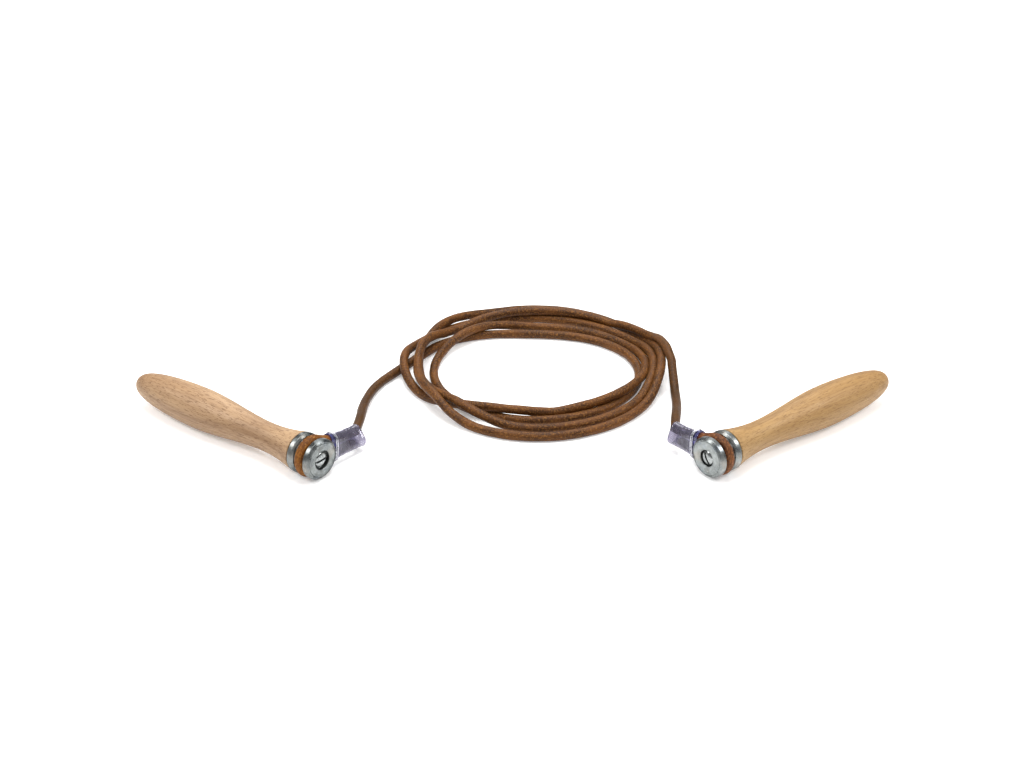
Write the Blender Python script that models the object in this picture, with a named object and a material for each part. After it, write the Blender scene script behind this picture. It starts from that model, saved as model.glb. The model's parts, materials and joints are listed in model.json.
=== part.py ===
"""Leather jump rope with two turned wooden handles and ball-bearing heads.

Each head is a stack on one axle screw: front flange, spacer, ball bearing, spacer, back flange, wood.
The rope's end is laid round the bearing's outer ring, doubled back on itself, and held by a clear
sleeve and a wire tie. The handles lie level on the surface, mirrored about X = 0, and the rope lies
between them in a loose coil.

Units are metres. +X runs from the left handle to the right one, +Y away, +Z up. The origin is on
the surface, under the centre of the box round everything but the free rope.
"""
import math

import bmesh
import bpy
from mathutils import Matrix, Vector

MM = 0.001
FIT_GAP = 0.3 * MM              # between pieces that touch or are pressed together
SIDES = {"left": -1, "right": 1}

# Layout of the two handles
HANDLE_FRONT_X = 111.8 * MM     # centre of a front flange's face, from the middle plane
HANDLE_AZIMUTH = math.radians(37.6)   # of the handle axis, from X towards +Y

# Bearing
BORE_RADIUS = 2.5 * MM
BEARING_RADIUS = 7.0 * MM
BEARING_WIDTH = 5.0 * MM
BALL_RADIUS = 1.0 * MM
BALL_CIRCLE_RADIUS = 4.75 * MM
BALL_COUNT = 7
BALL_PLAY = 0.12 * MM           # between a ball and each raceway
SHOULDER_GAP = 0.85 * MM        # from the ball circle to each ring's shoulder
CAGE_THICKNESS = 0.8 * MM
CAGE_WIDTH = 3.8 * MM
POCKET_PLAY = 0.2 * MM

# Flanges, spacers and screw
FLANGE_RADIUS = 12.5 * MM
FLANGE_THICKNESS = 4.8 * MM
FLANGE_BEVEL = 1.3 * MM
SPACER_RADIUS = 3.5 * MM
SPACER_THICKNESS = 0.8 * MM
SCREW_PLAY = 0.3 * MM           # round the shank, in every bore it passes
SCREW_HEAD_RADIUS = 4.7 * MM
SCREW_RIM_HEIGHT = 0.9 * MM
SCREW_DOME_HEIGHT = 1.3 * MM
SCREW_LENGTH = 48.0 * MM        # under the head
SCREW_POINT_LENGTH = 4.0 * MM
SLOT_WIDTH = 1.3 * MM
SLOT_DEPTH = 1.1 * MM
SLOT_ANGLE = {"left": math.radians(18), "right": math.radians(-58)}
RECESS_DEPTH = 2.9 * MM
RECESS_MARGIN = {"left": 1.2 * MM, "right": 0.4 * MM}   # round the screw's head

# Wooden grip
GRIP_LENGTH = 141.0 * MM
GRIP_FRONT_RADIUS = 12.2 * MM
GRIP_NECK_AT = 0.19             # shares of the grip's length, from its front
GRIP_NECK_RADIUS = 8.9 * MM
GRIP_BELLY_AT = 0.60
GRIP_TAIL_BEND = 1.8            # powers of the curve from the belly to the rounded butt
GRIP_TAIL_FULLNESS = 3.2
PILOT_CLEARANCE = 2.0 * MM      # past the screw's point

# Rope, its eyes, sleeves and ties
CORD_RADIUS = 2.95 * MM
STRAND_RADIUS = 2.85 * MM       # the rope where it is pulled tight round the bearing
EYE_LEAVE_ANGLE = math.radians(66)    # where a strand leaves the bearing, from the sleeve's direction
EYE_LEVEL_AT = 31.0 * MM        # where the two strands run side by side, from the bearing's axis
EYE_DROOP = {"left": math.radians(7), "right": math.radians(4)}      # of the sleeve, below level
EYE_TWIST = {"left": math.radians(42), "right": math.radians(24)}    # of the strands, at the mouth
TWIST_FROM = 15.0 * MM          # from the bearing's axis
SLEEVE_LENGTH = {"left": 27.5 * MM, "right": 23.5 * MM}
SLEEVE_WALL = 0.7 * MM
SLEEVE_CLEARANCE = 0.45 * MM    # round the strands
RIM_CLEARANCE = 0.8 * MM        # between the flanges' rims and the sleeve
TAIL_INSET = 6.0 * MM           # of the eye's doubled-back end inside the sleeve's mouth
STANDING_INSET = 0.2 * MM       # of the eye's standing end there
WIRE_RADIUS = 0.45 * MM
WIRE_PITCH = 1.3 * MM
WIRE_TURNS = 2
TIE_AT = 2.6 * MM               # first turn, from the sleeve's near end

# Free rope: its leads' own points, from the sleeves to the coil, and the coil's flat-sided oval ring
LEAD_STEP = 9.0 * MM            # between the points of a lead's tube
LEAD_STRAIGHT = 2.5 * MM        # straight out of the sleeve
LEAD_ROUTE = {
    "left": [(-93.8, -1.0, 10.2), (-93.9, 12.0, 8.0), (-94.4, 27.0, 5.2), (-93.6, 42.0, 3.4),
             (-90.6, 57.0, 2.95), (-86.0, 68.5, 2.95), (-80.6, 77.6, 2.95)],
    "right": [(98.6, 1.0, 12.2), (100.6, 14.0, 8.8), (102.6, 29.0, 5.4), (103.8, 44.0, 3.4),
              (104.1, 58.0, 2.95), (103.8, 70.0, 2.95), (103.0, 82.0, 2.95)],
}
COIL_HEIGHT = 11.0 * MM
COIL_EDGE = 2.5 * MM            # slope of its upper edges
COIL_STEPS = 48
COIL_INNER = {"centre": (14.3 * MM, 80.7 * MM), "half": (68.6 * MM, 51.0 * MM)}
COIL_OUTER = {"centre": (11.3 * MM, 91.3 * MM), "half": (88.7 * MM, 96.0 * MM)}

# Values that follow from those above
STACK_GAP = FIT_GAP + SPACER_THICKNESS + FIT_GAP       # flange to bearing ring
BEARING_AT = FLANGE_THICKNESS + STACK_GAP + BEARING_WIDTH / 2
BACK_FLANGE_AT = BEARING_AT + BEARING_WIDTH / 2 + STACK_GAP
GRIP_AT = BACK_FLANGE_AT + FLANGE_THICKNESS + FIT_GAP
SHANK_RADIUS = BORE_RADIUS - SCREW_PLAY
EYE_RADIUS = BEARING_RADIUS + FIT_GAP + STRAND_RADIUS  # of the rope's centreline round the bearing
AXIS_HEIGHT = EYE_RADIUS + STRAND_RADIUS               # the eye lies on the surface
GRIP_BELLY_RADIUS = AXIS_HEIGHT                        # and so does the grip's belly
STRAND_OFFSET = STRAND_RADIUS + FIT_GAP / 2            # of each strand from the sleeve's middle
SLEEVE_AT = FLANGE_RADIUS + RIM_CLEARANCE
SCREW_HEAD_AT = RECESS_DEPTH - FIT_GAP                 # underside of the head


def grip_radius(share):
    """Radius of the turned grip at a share of its length: flared front, neck, belly, rounded butt."""
    if share < GRIP_NECK_AT:
        ease = 1 - (1 - share / GRIP_NECK_AT) ** 2
        return GRIP_FRONT_RADIUS + (GRIP_NECK_RADIUS - GRIP_FRONT_RADIUS) * ease
    if share < GRIP_BELLY_AT:
        rise = (share - GRIP_NECK_AT) / (GRIP_BELLY_AT - GRIP_NECK_AT)
        return GRIP_NECK_RADIUS + (GRIP_BELLY_RADIUS - GRIP_NECK_RADIUS) * rise * rise * (3 - 2 * rise)
    fall = min(1.0, (share - GRIP_BELLY_AT) / (1 - GRIP_BELLY_AT))
    return GRIP_BELLY_RADIUS * (1 - fall ** GRIP_TAIL_BEND) ** (1 / GRIP_TAIL_FULLNESS)


def grip_shares():
    """Stations along the grip, closer together towards the rounded butt."""
    body = [GRIP_BELLY_AT * k / 13 for k in range(13)]
    tail = [1 - (1 - GRIP_BELLY_AT) * (1 - k / 9) ** 2.6 for k in range(9)]
    return body + tail


def box_centre_y():
    """Y of the middle of the box round both handles, when a front flange's face is at Y = 0."""
    near = -FLANGE_RADIUS * math.cos(HANDLE_AZIMUTH)
    far = max((GRIP_AT + GRIP_LENGTH * share) * math.sin(HANDLE_AZIMUTH)
              + grip_radius(share) * math.cos(HANDLE_AZIMUTH) for share in grip_shares())
    return (near + far) / 2


def strand_offset(x):
    """Distance of an eye's strands from the sleeve's middle line, at x from the bearing's axis."""
    if x >= EYE_LEVEL_AT:
        return STRAND_OFFSET
    start = EYE_RADIUS * math.cos(EYE_LEAVE_ANGLE)
    top = EYE_RADIUS * math.sin(EYE_LEAVE_ANGLE)
    span = EYE_LEVEL_AT - start
    slope = -1 / math.tan(EYE_LEAVE_ANGLE)
    t = (x - start) / span
    return (top * (2 * t ** 3 - 3 * t ** 2 + 1) + span * slope * (t ** 3 - 2 * t ** 2 + t)
            + STRAND_OFFSET * (3 * t ** 2 - 2 * t ** 3))


def sleeve_reach(x):
    """The strands' offset, and what a sloping strand's section reaches beyond its radius."""
    step = 0.01 * MM
    slope = (strand_offset(x + step) - strand_offset(x - step)) / (2 * step)
    return strand_offset(x) + STRAND_RADIUS * (math.hypot(1, slope) - 1)


def sleeve_end(side):
    return SLEEVE_AT + SLEEVE_LENGTH[side]


def hung(side, x, up, along):
    """Place a point of an eye in its handle's frame: twisted towards the mouth, then drooping.

    x runs from the bearing's axis to the mouth, up is upwards and along follows the handle.
    """
    share = (x - TWIST_FROM) / (sleeve_end(side) - TWIST_FROM)
    share = max(0.0, min(1.0, share))
    twist = EYE_TWIST[side] * share * share * (3 - 2 * share)
    risen = up * math.cos(twist) - along * math.sin(twist)
    moved = along * math.cos(twist) + up * math.sin(twist)
    droop = EYE_DROOP[side]
    return Vector((x * math.cos(droop) + risen * math.sin(droop),
                   SIDES[side] * (risen * math.cos(droop) - x * math.sin(droop)),
                   BEARING_AT + moved))


def material(name, colour, roughness, metallic=0.0, alpha=1.0):
    made = bpy.data.materials.new(name)
    made.use_nodes = True
    shader = made.node_tree.nodes["Principled BSDF"]
    shader.inputs["Base Color"].default_value = (*colour, 1.0)
    shader.inputs["Roughness"].default_value = roughness
    shader.inputs["Metallic"].default_value = metallic
    shader.inputs["Alpha"].default_value = alpha
    return made


def place(name, bm, finish, parent, smooth=35):
    """Make an object of a bmesh, under a handle's or the coil's empty."""
    bmesh.ops.remove_doubles(bm, verts=bm.verts, dist=1e-7)
    bmesh.ops.recalc_face_normals(bm, faces=bm.faces)
    mesh = bpy.data.meshes.new(name)
    bm.to_mesh(mesh)
    bm.free()
    mesh.materials.append(finish)
    mesh.shade_smooth()
    mesh.set_sharp_from_angle(angle=math.radians(smooth))
    made = bpy.data.objects.new(name, mesh)
    bpy.context.collection.objects.link(made)
    made.parent = parent
    return made


def turned(profile, segments):
    """A closed solid turned about Z from an outline of (radius, z) points, listed once round."""
    bm = bmesh.new()
    verts = [bm.verts.new((0, radius, z)) for radius, z in profile]
    edges = [bm.edges.new((a, b)) for a, b in zip(verts, verts[1:] + verts[:1])
             if not (a.co.y == 0 and b.co.y == 0)]
    bmesh.ops.spin(bm, geom=verts + edges, cent=(0, 0, 0), axis=(0, 0, 1), angle=2 * math.pi,
                   steps=segments, use_merge=True)
    return bm


def lofted(sections, closed=False):
    """A solid through a list of rings of points, each ring with the same count, ends capped."""
    bm = bmesh.new()
    rings = [[bm.verts.new(point) for point in section] for section in sections]
    pairs = list(zip(rings, rings[1:])) + ([(rings[-1], rings[0])] if closed else [])
    for low, high in pairs:
        for i in range(len(low)):
            j = (i + 1) % len(low)
            bm.faces.new((low[i], low[j], high[j], high[i]))
    if not closed:
        bm.faces.new(rings[0])
        bm.faces.new(rings[-1])
    return bm


def swept(path, radius, side, sides):
    """Sections of a round bar along a path that never runs parallel to the side direction."""
    sections = []
    for i, point in enumerate(path):
        ahead = path[min(i + 1, len(path) - 1)] - path[max(i - 1, 0)]
        across = side - ahead * (side.dot(ahead) / ahead.length_squared)
        across.normalize()
        up = ahead.cross(across).normalized()
        sections.append([point + up * (radius * math.cos(angle)) + across * (radius * math.sin(angle))
                         for angle in (2 * math.pi * k / sides for k in range(sides))])
    return sections


def oval(side, x, radius, offset, arc_steps=7):
    """Outline round both strands: two half circles joined by straight sides, hung in place."""
    points = []
    for sign in (1, -1):
        for k in range(arc_steps + 1):
            angle = math.pi * k / arc_steps
            points.append(hung(side, x, sign * (offset + radius * math.sin(angle)),
                               sign * radius * math.cos(angle)))
    return points


def flange(name, at, recess_margin, finish, parent):
    """Thick turned disc with bevelled edges, bored for the screw, recessed if it holds the head."""
    end = at + FLANGE_THICKNESS
    low = FLANGE_BEVEL * 0.35
    profile = [(FLANGE_RADIUS - FLANGE_BEVEL, at), (FLANGE_RADIUS - low, at + low),
               (FLANGE_RADIUS, at + FLANGE_BEVEL), (FLANGE_RADIUS, end - low), (FLANGE_RADIUS - low, end),
               (BORE_RADIUS, end)]
    if recess_margin:
        recess = SCREW_HEAD_RADIUS + recess_margin
        profile += [(BORE_RADIUS, at + RECESS_DEPTH), (recess, at + RECESS_DEPTH), (recess, at)]
    else:
        profile += [(BORE_RADIUS, at)]
    return place(name, turned(profile, 40), finish, parent)


def bearing_ring(name, shoulder, wall, finish, parent):
    """Bearing ring with a ball groove: shoulder is its ball side's radius, wall its other radius."""
    half = BEARING_WIDTH / 2
    groove = BALL_RADIUS + BALL_PLAY
    outward = 1 if shoulder > BALL_CIRCLE_RADIUS else -1
    edge = math.sqrt(groove ** 2 - SHOULDER_GAP ** 2)
    angles = [math.asin(edge / groove) * k / 2 for k in (-2, -1, 0, 1, 2)]
    arc = [(BALL_CIRCLE_RADIUS + outward * groove * math.cos(a), BEARING_AT + groove * math.sin(a))
           for a in angles]
    profile = [(wall, BEARING_AT - half), (shoulder, BEARING_AT - half), *arc,
               (shoulder, BEARING_AT + half), (wall, BEARING_AT + half)]
    return place(name, turned(profile, 24), finish, parent)


def bearing(side, steel, brass, parent):
    bearing_ring(f"{side}_bearing_inner_ring", BALL_CIRCLE_RADIUS - SHOULDER_GAP, BORE_RADIUS, steel, parent)
    bearing_ring(f"{side}_bearing_outer_ring", BALL_CIRCLE_RADIUS + SHOULDER_GAP, BEARING_RADIUS, steel,
                 parent)
    for index in range(BALL_COUNT):
        angle = 2 * math.pi * index / BALL_COUNT
        bm = bmesh.new()
        bmesh.ops.create_icosphere(bm, subdivisions=2, radius=BALL_RADIUS)
        bmesh.ops.translate(bm, verts=bm.verts, vec=(BALL_CIRCLE_RADIUS * math.cos(angle),
                                                     BALL_CIRCLE_RADIUS * math.sin(angle), BEARING_AT))
        place(f"{side}_ball_{index + 1}", bm, steel, parent)
    inner = BALL_CIRCLE_RADIUS - CAGE_THICKNESS / 2
    outer = BALL_CIRCLE_RADIUS + CAGE_THICKNESS / 2
    low, high = BEARING_AT - CAGE_WIDTH / 2, BEARING_AT + CAGE_WIDTH / 2
    cage = place(f"{side}_ball_cage", turned([(inner, low), (outer, low), (outer, high), (inner, high)], 28),
                 brass, parent)
    cut_pockets(cage, side, parent)


def cut_pockets(cage, side, parent):
    """Cut the cage's round pockets, one for each ball, with a ring of radial pegs."""
    bm = bmesh.new()
    for index in range(BALL_COUNT):
        turn = Matrix.Rotation(2 * math.pi * index / BALL_COUNT, 4, "Z")
        radial = Matrix.Rotation(math.pi / 2, 4, "Y")
        shift = Matrix.Translation((BALL_CIRCLE_RADIUS, 0, 0))
        raise_up = Matrix.Translation((0, 0, BEARING_AT))
        bmesh.ops.create_cone(bm, cap_ends=True, segments=12, depth=CAGE_THICKNESS * 3,
                              radius1=BALL_RADIUS + POCKET_PLAY, radius2=BALL_RADIUS + POCKET_PLAY,
                              matrix=raise_up @ turn @ shift @ radial)
    pegs = place(f"{side}_pocket_pegs", bm, cage.data.materials[0], parent)
    pegs.hide_render = True
    pegs.display_type = "WIRE"
    cut = cage.modifiers.new("pockets", "BOOLEAN")
    cut.operation = "DIFFERENCE"
    cut.object = pegs


def axle_screw(side, finish, parent):
    """Domed slotted wood screw: head in the front flange's recess, point in the grip."""
    rim = SCREW_HEAD_AT - SCREW_RIM_HEIGHT
    tip = SCREW_HEAD_AT + SCREW_LENGTH
    dome = [(SCREW_HEAD_RADIUS * math.sin(a), rim - SCREW_DOME_HEIGHT * math.cos(a))
            for a in (math.pi / 2 * k / 4 for k in range(4, -1, -1))]
    dome[-1] = (0, dome[-1][1])
    profile = [(0, tip), (SHANK_RADIUS, tip - SCREW_POINT_LENGTH), (SHANK_RADIUS, SCREW_HEAD_AT),
               (SCREW_HEAD_RADIUS, SCREW_HEAD_AT), *dome]
    screw = place(f"{side}_axle_screw", turned(profile, 24), finish, parent)
    bm = bmesh.new()
    bmesh.ops.create_cube(bm, size=1.0)
    top = rim - SCREW_DOME_HEIGHT
    bmesh.ops.scale(bm, verts=bm.verts, vec=(3 * SCREW_HEAD_RADIUS, SLOT_WIDTH, 2 * SLOT_DEPTH))
    bmesh.ops.rotate(bm, verts=bm.verts, cent=(0, 0, 0),
                     matrix=Matrix.Rotation(-SLOT_ANGLE[side], 3, "Z"))
    bmesh.ops.translate(bm, verts=bm.verts, vec=(0, 0, top))
    blade = place(f"{side}_slot_blade", bm, finish, parent)
    blade.hide_render = True
    blade.display_type = "WIRE"
    cut = screw.modifiers.new("slot", "BOOLEAN")
    cut.operation = "DIFFERENCE"
    cut.object = blade


def spacer(name, at, finish, parent):
    end = at + SPACER_THICKNESS
    place(name, turned([(BORE_RADIUS, at), (SPACER_RADIUS, at), (SPACER_RADIUS, end), (BORE_RADIUS, end)],
                       20), finish, parent)


def grip(side, finish, parent):
    """Turned wooden grip with the screw's pilot hole in its front."""
    pilot_end = SCREW_HEAD_AT + SCREW_LENGTH + PILOT_CLEARANCE
    profile = [(BORE_RADIUS, GRIP_AT)]
    profile += [(grip_radius(share), GRIP_AT + GRIP_LENGTH * share) for share in grip_shares()]
    profile += [(0, GRIP_AT + GRIP_LENGTH), (0, pilot_end), (BORE_RADIUS, pilot_end - BORE_RADIUS)]
    place(f"{side}_grip", turned(profile, 32), finish, parent)


def rope_eye(side, finish, parent):
    """Rope's end laid round the bearing: tail in the sleeve, round the ring, standing part out."""
    start = EYE_RADIUS * math.cos(EYE_LEAVE_ANGLE)
    leg_steps, bend_steps = 11, 17

    def leg(end, sign):
        xs = [start + (end - start) * k / leg_steps for k in range(1, leg_steps + 1)]
        return [hung(side, x, sign * strand_offset(x), 0) for x in xs]

    turn = 2 * (math.pi - EYE_LEAVE_ANGLE)
    bend = [hung(side, EYE_RADIUS * math.cos(angle), EYE_RADIUS * math.sin(angle), 0)
            for angle in (EYE_LEAVE_ANGLE + turn * k / bend_steps for k in range(bend_steps + 1))]
    tail = leg(sleeve_end(side) - TAIL_INSET, -1)
    standing = leg(sleeve_end(side) - STANDING_INSET, 1)
    path = standing[::-1] + bend + tail
    sections = swept(path, STRAND_RADIUS, Vector((0, 0, 1)), 8)
    place(f"{side}_rope_eye", lofted(sections), finish, parent, smooth=60)


def sleeve(side, finish, parent):
    """Clear sleeve over both strands, flared towards the bearing where the strands part."""
    inner = STRAND_RADIUS + SLEEVE_CLEARANCE
    stations = [SLEEVE_AT + SLEEVE_LENGTH[side] * k / 8 for k in range(9)]
    skin = [oval(side, x, inner + SLEEVE_WALL, sleeve_reach(x)) for x in stations]
    lining = [oval(side, x, inner, sleeve_reach(x)) for x in reversed(stations)]
    place(f"{side}_clear_sleeve", lofted(skin + lining, closed=True), finish, parent, smooth=60)


def wire_tie(side, finish, parent):
    """Steel wire wound round the sleeve, next to the eye."""
    per_turn = 24
    radius = STRAND_RADIUS + SLEEVE_CLEARANCE + SLEEVE_WALL + FIT_GAP + WIRE_RADIUS
    path = []
    for k in range(per_turn * WIRE_TURNS + 1):
        x = SLEEVE_AT + TIE_AT + WIRE_PITCH * k / per_turn
        around = 2 * math.pi * k / per_turn
        side_step = max(-1.0, min(1.0, 2.2 * math.sin(around)))
        path.append(hung(side, x, radius * math.sin(around) + sleeve_reach(x) * side_step,
                         radius * math.cos(around)))
    sections = swept(path, WIRE_RADIUS, Vector((1, 0, 0)), 5)
    place(f"{side}_wire_tie", lofted(sections), finish, parent, smooth=60)


def smooth_route(points, step):
    """Points a step apart on the smooth curve through the route's own points."""
    ends = [points[0] * 2 - points[1], *points, points[-1] * 2 - points[-2]]
    fine = []
    for a, b, c, d in zip(ends, ends[1:], ends[2:], ends[3:]):
        for k in range(20):
            t = k / 20
            fine.append(0.5 * (2 * b + (c - a) * t + (2 * a - 5 * b + 4 * c - d) * t ** 2
                               + (3 * b - a - 3 * c + d) * t ** 3))
    fine.append(points[-1])
    spans = [(q - p).length for p, q in zip(fine, fine[1:])]
    count = max(2, round(sum(spans) / step))
    spaced, walked, index = [], 0.0, 0
    for k in range(count + 1):
        target = sum(spans) * k / count
        while index < len(spans) - 1 and walked + spans[index] < target:
            walked += spans[index]
            index += 1
        spaced.append(fine[index].lerp(fine[index + 1], (target - walked) / spans[index]))
    return spaced


def lead(side, frame, finish):
    """Free rope from a sleeve to the coil."""
    x = sleeve_end(side) - STANDING_INSET
    exit_point = frame @ hung(side, x, strand_offset(x), 0)
    before = frame @ hung(side, x - 1 * MM, strand_offset(x - 1 * MM), 0)
    ahead = (exit_point - before).normalized()
    start = exit_point + ahead * FIT_GAP
    route = [start + ahead * LEAD_STRAIGHT] + [Vector(point) * MM for point in LEAD_ROUTE[side]]
    curve = bpy.data.curves.new(f"{side}_lead", "CURVE")
    curve.dimensions = "3D"
    curve.bevel_depth = CORD_RADIUS
    curve.bevel_resolution = 2
    curve.use_fill_caps = True
    points = [start] + smooth_route(route, LEAD_STEP)
    spline = curve.splines.new("POLY")
    spline.points.add(len(points) - 1)
    for target, point in zip(spline.points, points):
        target.co = (*point, 1.0)
    curve.materials.append(finish)
    bpy.context.collection.objects.link(bpy.data.objects.new(f"{side}_lead", curve))


def rope_coil(finish):
    """Outer shape of the coiled rope: a low ring between two ovals, its upper edges sloped off."""
    inner_x, inner_y = COIL_INNER["half"]
    outer_x, outer_y = COIL_OUTER["half"]
    sections = []
    for k in range(COIL_STEPS):
        angle = 2 * math.pi * k / COIL_STEPS
        turn = Vector((math.cos(angle), math.sin(angle), 0))
        inside = Vector((*COIL_INNER["centre"], 0)) + turn * Vector((inner_x, inner_y, 0))
        outside = Vector((*COIL_OUTER["centre"], 0)) + turn * Vector((outer_x, outer_y, 0))
        edge = (outside - inside).normalized() * COIL_EDGE
        shoulder = Vector((0, 0, COIL_HEIGHT - COIL_EDGE))
        top = Vector((0, 0, COIL_HEIGHT))
        sections.append([inside, outside, outside + shoulder, outside - edge + top,
                         inside + edge + top, inside + shoulder])
    place("rope_coil", lofted(sections, closed=True), finish, None)


def handle_frame(side):
    """Matrix of a handle's frame: Z along the grip, X the way the sleeve runs, at the front's face."""
    sign = SIDES[side]
    axis = Vector((sign * math.cos(HANDLE_AZIMUTH), math.sin(HANDLE_AZIMUTH), 0))
    away = Vector((-sign * math.sin(HANDLE_AZIMUTH), math.cos(HANDLE_AZIMUTH), 0))
    frame = Matrix((away, axis.cross(away), axis)).transposed().to_4x4()
    frame.translation = Vector((sign * HANDLE_FRONT_X, -box_centre_y(), AXIS_HEIGHT))
    return frame


def main():
    for old in list(bpy.data.objects):
        bpy.data.objects.remove(old)

    zinc = material("zinc_plated_steel", (0.55, 0.58, 0.60), 0.35, metallic=1.0)
    bright = material("bright_steel", (0.72, 0.73, 0.75), 0.2, metallic=1.0)
    brass = material("cage_brass", (0.70, 0.52, 0.24), 0.35, metallic=1.0)
    beech = material("beech", (0.68, 0.46, 0.27), 0.5)
    leather = material("leather", (0.22, 0.09, 0.03), 0.55)
    clear = material("clear_vinyl", (0.40, 0.36, 0.62), 0.15, alpha=0.4)

    for side in SIDES:
        frame = handle_frame(side)
        handle = bpy.data.objects.new(f"{side}_axis", None)
        handle.matrix_world = frame
        bpy.context.collection.objects.link(handle)
        flange(f"{side}_front_flange", 0, RECESS_MARGIN[side], zinc, handle)
        spacer(f"{side}_front_spacer", FLANGE_THICKNESS + FIT_GAP, bright, handle)
        bearing(side, bright, brass, handle)
        spacer(f"{side}_back_spacer", BACK_FLANGE_AT - FIT_GAP - SPACER_THICKNESS, bright, handle)
        flange(f"{side}_back_flange", BACK_FLANGE_AT, None, zinc, handle)
        axle_screw(side, bright, handle)
        grip(side, beech, handle)
        rope_eye(side, leather, handle)
        sleeve(side, clear, handle)
        wire_tie(side, bright, handle)
        lead(side, frame, leather)
    rope_coil(leather)


main()
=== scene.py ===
import math

import bmesh
import bpy
from mathutils import Matrix, Vector
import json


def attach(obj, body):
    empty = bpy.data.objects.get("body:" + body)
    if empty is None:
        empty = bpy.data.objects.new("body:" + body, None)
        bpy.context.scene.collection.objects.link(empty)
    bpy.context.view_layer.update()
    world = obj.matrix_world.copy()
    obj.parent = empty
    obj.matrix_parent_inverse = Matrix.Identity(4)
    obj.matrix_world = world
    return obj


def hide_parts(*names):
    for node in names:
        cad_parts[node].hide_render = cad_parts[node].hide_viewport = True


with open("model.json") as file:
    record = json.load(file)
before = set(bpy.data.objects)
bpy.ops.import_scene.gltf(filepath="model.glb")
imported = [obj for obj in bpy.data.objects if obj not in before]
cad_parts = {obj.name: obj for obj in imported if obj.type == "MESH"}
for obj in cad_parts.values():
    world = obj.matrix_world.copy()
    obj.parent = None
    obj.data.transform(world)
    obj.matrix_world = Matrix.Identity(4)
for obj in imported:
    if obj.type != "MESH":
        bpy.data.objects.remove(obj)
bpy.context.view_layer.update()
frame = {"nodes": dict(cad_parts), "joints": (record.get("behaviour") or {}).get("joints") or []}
mm = 0.001
sides = {"left": -1, "right": 1}
spins = {joint["name"]: joint for joint in frame["joints"]}
print("frame loaded")


def placed(name, place, target, data):
    made = bpy.data.objects.new(name, data)
    made.location = place
    made.rotation_euler = (Vector(target) - Vector(place)).to_track_quat("-Z", "Y").to_euler()
    bpy.context.collection.objects.link(made)
    return made


cameraSettings = {
    "place": (-0.00825, -0.7917, 0.4677),
    "lookAt": (-0.0005, 0.0711, 0.0),
    "lens": 52.73,
    "sensor": 36.0,
}
lens = bpy.data.cameras.new("camera")
lens.lens = cameraSettings["lens"]
lens.sensor_width = cameraSettings["sensor"]
lens.clip_start = 0.01
camera = placed("camera", cameraSettings["place"], cameraSettings["lookAt"], lens)
bpy.context.scene.camera = camera

lampSettings = [   # name, place, aimed at, size in metres, watts, colour
    ("overheadLamp", (0.0, 0.30, 1.5), (0.0, 0.05, 0.0), 1.0, 27.0, (1.0, 1.0, 1.0)),
    ("leftLamp", (-0.95, -0.05, 0.80), (-0.1, 0.0, 0.0), 0.35, 6.0, (1.0, 0.99, 0.98)),
    ("rightLamp", (0.95, -0.05, 0.80), (0.1, 0.0, 0.0), 0.35, 6.0, (1.0, 0.99, 0.98)),
    ("frontLamp", (0.0, -1.3, 1.2), (0.0, 0.0, 0.0), 0.7, 6.0, (1.0, 1.0, 1.0)),
    ("farLamp", (0.0, 1.9, 1.5), (0.0, 1.4, 0.0), 1.2, 16.0, (1.0, 1.0, 1.0)),
]
for name, place, target, size, watts, colour in lampSettings:
    lamp = bpy.data.lights.new(name, "AREA")
    lamp.shape = "SQUARE"
    lamp.size = size
    lamp.energy = watts
    lamp.color = colour
    placed(name, place, target, lamp)
roomLight = {"colour": (1.0, 1.0, 1.0, 1.0), "strength": 0.33}
world = bpy.data.worlds.new("room")
world.use_nodes = True
world.node_tree.nodes["Background"].inputs["Color"].default_value = roomLight["colour"]
world.node_tree.nodes["Background"].inputs["Strength"].default_value = roomLight["strength"]
bpy.context.scene.world = world
bpy.context.scene.view_settings.view_transform = "Standard"
print("camera and lights placed")


class Flow:
    # wraps a socket; sums on it add Math nodes
    def __init__(self, tree, socket=None):
        self.tree = tree
        self.socket = socket

    def add(self, kind, settings=None, values=None, out=0):
        made = self.tree.nodes.new(kind)
        for key, value in (settings or {}).items():
            setattr(made, key, value)
        for key, value in (values or {}).items():
            if isinstance(value, Flow):
                self.tree.links.new(value.socket, made.inputs[key])
            else:
                made.inputs[key].default_value = value
        return Flow(self.tree, made.outputs[out])

    def sum(self, operation, *values):
        return self.add("ShaderNodeMath", {"operation": operation}, dict(enumerate(values)))

    def __add__(self, other):
        return self.sum("ADD", self, other)

    def __sub__(self, other):
        return self.sum("SUBTRACT", self, other)

    def __mul__(self, other):
        return self.sum("MULTIPLY", self, other)

    def ramp(self, low, high, start=0.0, end=1.0):
        # smooth step of this value between low and high, from start to end
        return self.add("ShaderNodeMapRange", {"interpolation_type": "SMOOTHSTEP"},
                        {"Value": self, "From Min": low, "From Max": high, "To Min": start, "To Max": end})

    def blend(self, first, second):
        # mix of two colours, with this value as the factor
        made = self.tree.nodes.new("ShaderNodeMix")
        made.data_type = "RGBA"
        self.tree.links.new(self.socket, made.inputs[0])
        for slot, colour in ((6, first), (7, second)):
            if isinstance(colour, Flow):
                self.tree.links.new(colour.socket, made.inputs[slot])
            else:
                made.inputs[slot].default_value = (*colour, 1.0)
        return Flow(self.tree, made.outputs[2])


def noise(flow, vector, scale, detail, roughness):
    return flow.add("ShaderNodeTexNoise", {}, {"Vector": vector, "Scale": scale, "Detail": detail,
                                               "Roughness": roughness})


def mapped(flow, vector, location=(0, 0, 0), rotation=(0, 0, 0), scale=(1, 1, 1)):
    return flow.add("ShaderNodeMapping", {}, {"Vector": vector, "Location": location,
                                              "Rotation": rotation, "Scale": scale})


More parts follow.
